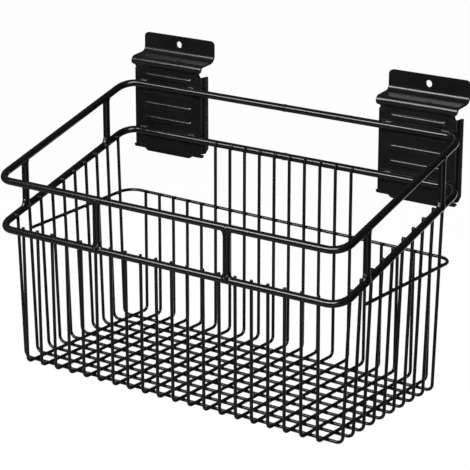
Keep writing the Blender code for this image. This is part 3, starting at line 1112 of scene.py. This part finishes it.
class SheetPlan:
    """The middle surface of the right half of one bracket. Depth Y and height Z are the frame's, X is from
    the bracket's middle."""

    inner_columns = (0.0, 5 * MM, 10 * MM, 15 * MM, 18 * MM)  # the sheet's columns, inside the ribs' ends
    outer_columns = (25.5 * MM, 27.5 * MM, 29 * MM)
    lip_slope = 5.5  # degrees
    hole_z = 11.6 * MM
    rib_half, rib_end = 20.2 * MM, 3.0 * MM
    rib_top, rib_pitch, rib_count = -12.6 * MM, 11.3 * MM, 4
    rib_flank = 0.42  # share of a rib's half height that its rounded top takes
    rib_rows = (1.0, 0.94, 0.87, 0.79, 0.71, 0.63, 0.55, 0.48, 0.42, 0.2)  # shares of a rib's half height
    plain_rows = (-50.5 * MM, -58 * MM)  # rows below the ribs
    side_top, chamfer_z, side_bottom = -8.0 * MM, -65.0 * MM, -68.2 * MM
    chamfer_depth = 3.4 * MM
    tab_gap, tab_bottom = 0.6 * MM, -71.2 * MM
    tab_step, tab_rise = 0.3 * MM, 0.4 * MM  # the tab's upper corners
    tab_corner = 0.9 * MM
    tongue_slope = 3.2 * MM
    fold_z, fold_proud = -1.75 * MM, 2.8 * MM
    fold_foot = -6.4 * MM  # where the fold's middle has come back to the face plate
    flare_from = 0.62  # share of the half width where the fold starts to open
    free_foot, free_corner = -4.5 * MM, 2.6 * MM  # the fold's free ends hang down and have round corners
    free_from, free_to = 4.0 * MM, 0.5 * MM  # where that starts and is full, inside and outside the flat
    free_hang = 0.9  # how nearly straight down they hang

    def __init__(self, sheets, node):
        low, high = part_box(node)
        self.sheets = sheets
        self.middle = (low.x + high.x) / 2
        self.half = (high.x - low.x) / 2
        self.top, self.bottom = high.z, low.z
        self.hook = high.y - sheets.sheet / 2
        self.face = -sheets.side_depth + sheets.sheet / 2
        self.front = self.face - self.fold_proud
        self.flat = self.half - sheets.sheet / 2 - sheets.side_bend
        ends = [self.rib_half + self.rib_end * i / 5 for i in range(6)]
        self.columns = [*self.inner_columns, *ends, *self.outer_columns, self.flat]
        self.free = [self.flat + (self.half - self.flat) * i / 4 for i in range(1, 5)]

    def lip_z(self, y):
        """Height of the lip's middle surface at one depth."""
        slope = math.radians(self.lip_slope)
        crest_y = self.front + self.sheets.fold - self.sheets.fold * math.sin(slope)
        crest_z = self.fold_z + self.sheets.fold * math.cos(slope)
        return crest_z + (y - crest_y) * math.tan(slope)

    def fold_row(self, degrees, row_half):
        """One row of the fold, which opens towards its free ends."""
        row = []
        a = math.radians(degrees)
        for x in self.columns + self.free:
            opened = ease(self.flare_from * self.half, self.half, x)
            radius = self.sheets.fold + self.sheets.fold_flare * opened
            y = self.front + radius
            z = self.lip_z(y) - radius / math.cos(math.radians(self.lip_slope))
            row.append((min(x, row_half), y + radius * math.cos(a), z + radius * math.sin(a)))
        return row

    def level_row(self, y, z, row_half):
        """One straight row of the sheet, no wider than row_half."""
        return [(min(x, row_half), y, z) for x in self.columns + self.free]

    def under_fold_row(self, t):
        """A row between the fold and the face plate. Its free ends hang straight down."""
        row = []
        corner = self.half - self.free_corner * (1 - math.sqrt(1 - t * t))
        for x, y, z in self.fold_row(180.0, self.half):
            free = ease(self.flat - self.free_from, self.flat + self.free_to, x)
            foot = self.fold_foot + (self.free_foot - self.fold_foot) * free
            inward = (self.face - y) * ease(0, 1, t) * (1 - self.free_hang * free)
            row.append((min(x, corner), y + inward, z + (foot - z) * t))
        return row

    def hook_rows(self):
        """Rows of the hook flange, its bend, the lip and the fold, from the top down."""
        corner, radius = self.sheets.hook_corner, self.sheets.hook_bend
        rows = []
        for i in range(7):
            turn = math.pi / 2 * i / 6
            drop = corner * (1 - math.cos(turn))
            row_half = self.half - corner * (1 - math.sin(turn))
            rows.append(self.level_row(self.hook, self.top - drop, row_half))
        centre_y = self.hook - radius
        slope = math.radians(self.lip_slope)
        centre_z = self.lip_z(centre_y + radius * math.sin(slope)) + radius * math.cos(slope)
        for y, z in arc((centre_y, centre_z), radius, 0.0, self.lip_slope - 90.0, 8):
            rows.append(self.level_row(y, z, self.half))
        first = 90.0 + self.lip_slope
        rows += [self.fold_row(first + (180.0 - first) * i / 10, self.half) for i in range(11)]
        rows += [self.under_fold_row(t) for t in (0.2, 0.4, 0.6, 0.8, 0.95, 1.0)]
        return rows

    def rib_height(self, x, z):
        """How far the face plate is pressed forward at one place."""
        reach = 0.0
        for i in range(self.rib_count):
            t = abs(z - (self.rib_top - i * self.rib_pitch)) / (self.sheets.rib_width / 2)
            if t < 1:
                reach = 1 - ease(self.rib_flank, 1.0, t)
        end = 1 - ease(self.rib_half, self.rib_half + self.rib_end, x)
        return self.sheets.rib_height * reach * end

    def side_row(self, z, edge_y):
        """One row across the face plate, round the bend of its side and back to its edge."""
        row = [(x, self.face - self.rib_height(x, z), z) for x in self.columns]
        bend_radius = self.sheets.side_bend
        for i in range(1, 9):
            a = math.radians(90.0 * i / 8)
            across = self.flat + bend_radius * math.sin(a)
            row.append((across, self.face + bend_radius * (1 - math.cos(a)), z))
        last_y = row[-1][1]
        row += [(self.flat + bend_radius, last_y + (edge_y - last_y) * i / 2, z) for i in (1, 2)]
        return row

    def side_heights(self):
        """Heights of the face plate's rows, close together on the ribs."""
        heights = [self.side_top]
        for i in range(self.rib_count):
            middle = self.rib_top - i * self.rib_pitch
            down = [*self.rib_rows, 0.0, *(-t for t in reversed(self.rib_rows))]
            heights += [middle + self.sheets.rib_width / 2 * t for t in down]
        return [*heights, *self.plain_rows, self.chamfer_z]

    def tab_rows(self):
        """Rows of the tab and its tongue below the folded sides."""
        gap_z = self.side_bottom - self.tab_gap
        rows = (
            (gap_z, self.half - self.tab_step),
            (gap_z - self.tab_rise, self.half),
            (self.tab_bottom + self.tab_corner, self.half),
            (self.tab_bottom, self.half - self.tab_corner),
        )
        return [self.level_row(self.face, z, half) for z, half in rows]

    def mesh(self, name):
        """The half surface as a mesh with no thickness."""
        bm = bmesh.new()
        rows = [("hook", row) for row in self.hook_rows()]
        rows += [("side", self.side_row(z, 0.0)) for z in self.side_heights()]
        rows.append(("side", self.side_row(self.side_bottom, -self.chamfer_depth)))
        rows += [("tab", row) for row in self.tab_rows()]
        made = [(part, [bm.verts.new(point) for point in row]) for part, row in rows]
        for (part, upper), (next_part, lower) in zip(made, made[1:]):
            across = len(lower) if part == next_part else len(self.columns)
            for i in range(across - 1):
                bm.faces.new((upper[i], lower[i], lower[i + 1], upper[i + 1]))
        self.add_tongue(bm, made[-1][1])
        bmesh.ops.remove_doubles(bm, verts=bm.verts[:], dist=0.01 * MM)
        mesh = bpy.data.meshes.new(name)
        bm.to_mesh(mesh)
        bm.free()
        return mesh

    def add_tongue(self, bm, last):
        """The tongue under the middle of the tab, with sloping ends."""
        inner = [i for i, x in enumerate(self.columns) if x <= self.rib_half + self.rib_end]
        depth = self.tab_bottom - self.bottom
        end = self.columns[inner[-1]]
        below = []
        for i in inner:
            x = self.columns[i]
            drop = depth * (1 - ease(end - self.tongue_slope, end, x))
            below.append(last[i] if x == end else bm.verts.new((x, self.face, self.tab_bottom - drop)))
        for i in range(len(inner) - 1):
            corners = [last[i], below[i], below[i + 1], last[i + 1]]
            bm.faces.new(list(dict.fromkeys(corners)))


HOLE_AROUND = 40


def hole_cutter(plan, radius):
    """A cutter for the screw hole, wider where it passes the sheet's faces, to round the hole's edges."""
    bm = bmesh.new()
    half = plan.sheets.sheet / 2
    edge = plan.sheets.edge
    beyond = 1 * MM
    out_half = ((edge - half, radius), (-half, radius + edge), (-half - beyond, radius + beyond + edge))
    profile = [*reversed(out_half), *((-along, reach) for along, reach in out_half)]
    angles = [math.tau * i / HOLE_AROUND for i in range(HOLE_AROUND)]
    rings = []
    for along, reach in profile:
        y = plan.hook + along
        ring = [(math.cos(a) * reach, math.sin(a) * reach) for a in angles]
        rings.append([(plan.middle + across, y, plan.hole_z + rise) for across, rise in ring])
    closed_rings(bm, rings)
    bmesh.ops.recalc_face_normals(bm, faces=bm.faces[:])
    mesh = bpy.data.meshes.new("screw_hole")
    bm.to_mesh(mesh)
    bm.free()
    return link("screw_hole", mesh)


def stamped_sheet(name, plan, coat):
    """A bracket's half surface mirrored, thickened, rounded at its cut edges and drilled."""
    mesh = plan.mesh(name + "_half")
    mesh.transform(Matrix.Translation((plan.middle, 0, 0)))
    mesh.materials.append(coat)
    mesh.shade_smooth()
    obj = link(name + "_half", mesh)
    centre = link("mirror_line", None)
    centre.location.x = plan.middle
    halves = obj.modifiers.new("halves", "MIRROR")
    halves.mirror_object = centre
    halves.merge_threshold = 0.01 * MM
    thick = obj.modifiers.new("thickness", "SOLIDIFY")
    thick.thickness = plan.sheets.sheet
    thick.offset = 0.0
    thick.use_even_offset = True
    edges = obj.modifiers.new("edges", "BEVEL")
    edges.width = plan.sheets.edge
    edges.segments = 2
    edges.limit_method = "ANGLE"
    edges.angle_limit = math.radians(55)
    cutter = hole_cutter(plan, plan.sheets.hole_radius)
    hole = obj.modifiers.new("hole", "BOOLEAN")
    hole.operation = "DIFFERENCE"
    hole.object = cutter
    shading = obj.modifiers.new("shading", "WEIGHTED_NORMAL")
    shading.keep_sharp = True
    piece = baked(obj, name)
    bpy.data.objects.remove(cutter, do_unlink=True)
    bpy.data.objects.remove(centre, do_unlink=True)
    return piece


class BASKET_OT_brackets(bpy.types.Operator):
    """Stamp the two hook brackets"""

    bl_idname = "basket.brackets"
    bl_label = "Brackets"

    def execute(self, context):
        sheets = context.scene.basket_sheets
        for node in BRACKETS:
            piece = stamped_sheet(node + "_sheet", SheetPlan(sheets, node), bracket_coat())
            hand_over(piece, (node,))
        return {"FINISHED"}


# ---------------------------------------------------------------- stage

FLOOR_RADIUS = 9.0
FLOOR_GLOW, FLOOR_GLOW_SHARE = 1.06, 0.92  # the even white that the camera sees
FLOOR_REFLECTION_SHADE = 0.3  # painted shade: the share of the floor's white that glossy rays see, so the coat mirrors a darker floor than the camera sees
FLOOR_PATCH = 0.97
SURROUND = (0.06, 0.06, 0.06, 1.0)
WHITE = (1.0, 1.0, 1.0, 1.0)
BASKET_MIDDLE = (0.0, -0.12, -0.06)
SOFT_BOXES = (  # name, centre, aim, width and height, share of the key light's power
    ("key_box", (-0.19, -0.95, 0.62), (-0.19, -0.12, -0.06), (1.40, 0.38), 1.0),
    ("back_panel", (0.05, 0.80, -0.42), BASKET_MIDDLE, (0.7, 0.42), 0.045),
    ("front_fill", (0.95, -1.35, -0.40), BASKET_MIDDLE, (1.0, 0.5), 0.045),
)
CAMERA_TARGET = Vector((0.0, -0.0859, -0.0940))
CAMERA_SHIFT = (0.0198, -0.0132)
CAMERA_SENSOR = 36.0


def floor_material(white):
    """A matt pale floor that the camera sees as a clean white ground, with painted shade making it a darker
    grey in the coat's reflections.
    """
    material = bpy.data.materials.new("pale_floor")
    material.use_nodes = True
    tree = material.node_tree
    matt = tree.nodes["Principled BSDF"]
    matt.inputs["Roughness"].default_value = 0.9
    place = tree.nodes.new("ShaderNodeTexCoord")
    patch = noise_value(tree, place.outputs["Object"], 1.5, detail=2.0)
    ramp = tree.nodes.new("ShaderNodeValToRGB")
    ramp.color_ramp.elements[0].color = (*(FLOOR_PATCH * c for c in white), 1.0)
    ramp.color_ramp.elements[1].color = (*white, 1.0)
    tree.links.new(patch, ramp.inputs["Fac"])
    glow = tree.nodes.new("ShaderNodeEmission")
    glow.inputs["Strength"].default_value = FLOOR_GLOW
    seen = tree.nodes.new("ShaderNodeLightPath")
    # painted shade in reflections: glossy rays see the floor at a darker grey than its white
    shade = tree.nodes.new("ShaderNodeMix")
    shade.data_type = "RGBA"
    colour_input(shade, 1).default_value = (*(FLOOR_REFLECTION_SHADE * c for c in white), 1.0)
    tree.links.new(seen.outputs["Is Glossy Ray"], shade.inputs["Factor"])
    tree.links.new(ramp.outputs["Color"], colour_input(shade, 0))
    tree.links.new(colour_output(shade), matt.inputs["Base Color"])
    blend = tree.nodes.new("ShaderNodeMixShader")
    glow_share = math_node(tree, "MULTIPLY", seen.outputs["Is Camera Ray"], FLOOR_GLOW_SHARE)
    tree.links.new(glow_share, blend.inputs["Fac"])
    tree.links.new(matt.outputs["BSDF"], blend.inputs[1])
    tree.links.new(glow.outputs["Emission"], blend.inputs[2])
    tree.links.new(blend.outputs["Shader"], tree.nodes["Material Output"].inputs["Surface"])
    return material


def make_floor(looks):
    """A round floor, far enough below the hanging basket to be clear of its shade."""
    bm = bmesh.new()
    bmesh.ops.create_circle(bm, cap_ends=True, radius=FLOOR_RADIUS, segments=96)
    bmesh.ops.translate(bm, verts=bm.verts[:], vec=(0, 0, CAD_BOX[0].z - looks.floor_drop))
    mesh = bpy.data.meshes.new("floor")
    bm.to_mesh(mesh)
    bm.free()
    mesh.materials.append(floor_material(looks.floor_white))
    link("floor", mesh)


def soft_box(name, centre, aim, size, power):
    """A rectangular studio light aimed at a point."""
    light = bpy.data.lights.new(name, "AREA")
    light.shape = "RECTANGLE"
    light.size, light.size_y = size
    light.energy = power
    lamp = link(name, light)
    lamp.location = centre
    lamp.visible_camera = False
    lamp.rotation_euler = (Vector(aim) - Vector(centre)).to_track_quat("-Z", "Y").to_euler()
    return lamp


def make_lights(looks):
    """A wide soft box above the front, a low panel behind, a low fill in front and a dim surround."""
    for name, centre, aim, size, power_share in SOFT_BOXES:
        soft_box(name, centre, aim, size, power_share * looks.key_power)
    world = bpy.data.worlds.new("studio")
    bpy.context.scene.world = world
    world.use_nodes = True
    tree = world.node_tree
    surround = tree.nodes["Background"]
    surround.inputs["Color"].default_value = SURROUND
    ground = tree.nodes.new("ShaderNodeBackground")
    ground.inputs["Color"].default_value = WHITE
    seen = tree.nodes.new("ShaderNodeLightPath")
    blend = tree.nodes.new("ShaderNodeMixShader")
    tree.links.new(seen.outputs["Is Camera Ray"], blend.inputs["Fac"])
    tree.links.new(surround.outputs["Background"], blend.inputs[1])
    tree.links.new(ground.outputs["Background"], blend.inputs[2])
    tree.links.new(blend.outputs["Shader"], tree.nodes["World Output"].inputs["Surface"])


def make_camera(looks):
    """The camera, aimed at the basket from the front right and a little above."""
    turn, height = looks.camera_turn, looks.camera_height
    level = math.cos(height)
    back = Vector((math.sin(turn) * level, -math.cos(turn) * level, math.sin(height)))
    data = bpy.data.cameras.new("camera")
    data.sensor_width = CAMERA_SENSOR
    data.lens = looks.camera_lens
    data.shift_x, data.shift_y = CAMERA_SHIFT
    camera = link("camera", data)
    camera.location = CAMERA_TARGET + back * looks.camera_distance
    camera.rotation_euler = (-back).to_track_quat("-Z", "Y").to_euler()
    bpy.context.scene.camera = camera


class BASKET_OT_stage(bpy.types.Operator):
    """Set the floor, the lights and the camera"""

    bl_idname = "basket.stage"
    bl_label = "Stage"

    def execute(self, context):
        looks = context.scene.basket_stage
        make_floor(looks)
        make_lights(looks)
        make_camera(looks)
        context.scene.view_settings.view_transform = "Standard"
        return {"FINISHED"}


# ---------------------------------------------------------------- add-on

PIECE_OPERATORS = (
    BASKET_OT_stage,
    BASKET_OT_rims,
    BASKET_OT_posts,
    BASKET_OT_long_wires,
    BASKET_OT_cross_wires,
    BASKET_OT_band,
    BASKET_OT_wire_welds,
    BASKET_OT_post_welds,
    BASKET_OT_butt_welds,
    BASKET_OT_brackets,
    BASKET_OT_bracket_welds,
)
GROUPS = (
    ("basket_rods", BasketRodSizes),
    ("basket_sheets", BasketSheetSizes),
    ("basket_coat", BasketCoatLooks),
    ("basket_stage", BasketStageLooks),
)


class BASKET_PT_panel(bpy.types.Panel):
    """Sizes, finishes and build steps of the basket"""

    bl_label = "Slatwall Wire Basket"
    bl_space_type = "VIEW_3D"
    bl_region_type = "UI"
    bl_category = "Basket"

    def draw(self, context):
        for name, group in GROUPS:
            box = self.layout.box()
            for setting in group.__annotations__:
                box.prop(getattr(context.scene, name), setting)
        for operator in PIECE_OPERATORS:
            self.layout.operator(operator.bl_idname)


def register():
    for name, group in GROUPS:
        bpy.utils.register_class(group)
        setattr(bpy.types.Scene, name, bpy.props.PointerProperty(type=group))
    for operator in PIECE_OPERATORS:
        bpy.utils.register_class(operator)
    bpy.utils.register_class(BASKET_PT_panel)


def unregister():
    bpy.utils.unregister_class(BASKET_PT_panel)
    for operator in reversed(PIECE_OPERATORS):
        bpy.utils.unregister_class(operator)
    for name, group in reversed(GROUPS):
        delattr(bpy.types.Scene, name)
        bpy.utils.unregister_class(group)


def main():
    register()
    for operator in PIECE_OPERATORS:
        space, name = operator.bl_idname.split(".")
        getattr(getattr(bpy.ops, space), name)()


if __name__ == "__main__":
    main()
